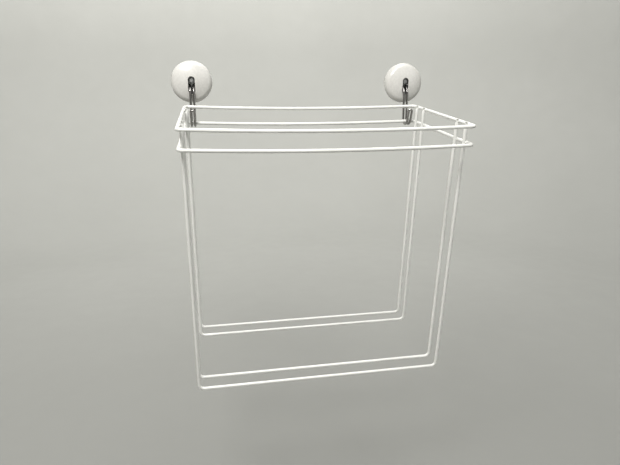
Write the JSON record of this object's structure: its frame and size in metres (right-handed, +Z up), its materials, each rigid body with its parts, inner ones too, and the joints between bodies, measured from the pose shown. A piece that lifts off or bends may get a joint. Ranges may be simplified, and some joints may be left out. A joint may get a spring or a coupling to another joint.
{
  "type": "plastic bag holder",
  "caption": "White coated wire frame that holds a carrier bag open, hung from magnet hooks with domed covers on a steel wall.",
  "frame": {"origin": "on the wall plane, midway between the two magnets, at the height of their centres", "axes": "+Z up, +Y into the wall, +X to the right for someone facing the wall"},
  "size_m": [0.279, 0.1649, 0.3193],
  "materials": {
    "coated_wire": "white plastic coating over steel wire, satin",
    "cover_plastic": "white moulded plastic, soft gloss",
    "chrome_wire": "bright chrome plate",
    "plated_steel": "zinc plate",
    "ferrite": "sintered ferrite, dull",
    "pad_rubber": "thin soft pad, matt"
  },
  "bodies": {
    "magnet_bases": {"left_magnet_cover": "cover_plastic", "left_steel_cup": "plated_steel", "left_magnet_disc": "ferrite", "left_grip_pad": "pad_rubber", "left_hook_bracket": "plated_steel", "left_center_stud": "plated_steel", "right_magnet_cover": "cover_plastic", "right_steel_cup": "plated_steel", "right_magnet_disc": "ferrite", "right_grip_pad": "pad_rubber", "right_hook_bracket": "plated_steel", "right_center_stud": "plated_steel"},
    "left_hook": {"left_wire_hook": "chrome_wire"},
    "right_hook": {"right_wire_hook": "chrome_wire"},
    "frame": {"upper_ring": "coated_wire", "lower_ring": "coated_wire", "rear_outer_loop": "coated_wire", "rear_inner_loop": "coated_wire", "front_inner_loop": "coated_wire", "front_outer_loop": "coated_wire"}
  },
  "joints": [
    {"name": "left_hook_swing", "type": "hinge", "parent": "magnet_bases", "child": "left_hook", "pos_m": [-0.118, -0.0076, -0.003], "axis": [-1, 0, 0], "range_deg": [0, 45]},
    {"name": "right_hook_swing", "type": "hinge", "parent": "magnet_bases", "child": "right_hook", "pos_m": [0.118, -0.0076, -0.003], "axis": [-1, 0, 0], "range_deg": [0, 45]},
    {"name": "frame_lift", "type": "slide", "parent": "left_hook", "child": "frame", "axis": [0, -0.342, 0.9397], "range_m": [0, 0.06]}
  ],
  "couplings": [
    {"joint": "right_hook_swing", "follows": "left_hook_swing", "ratio": 1}
  ]
}
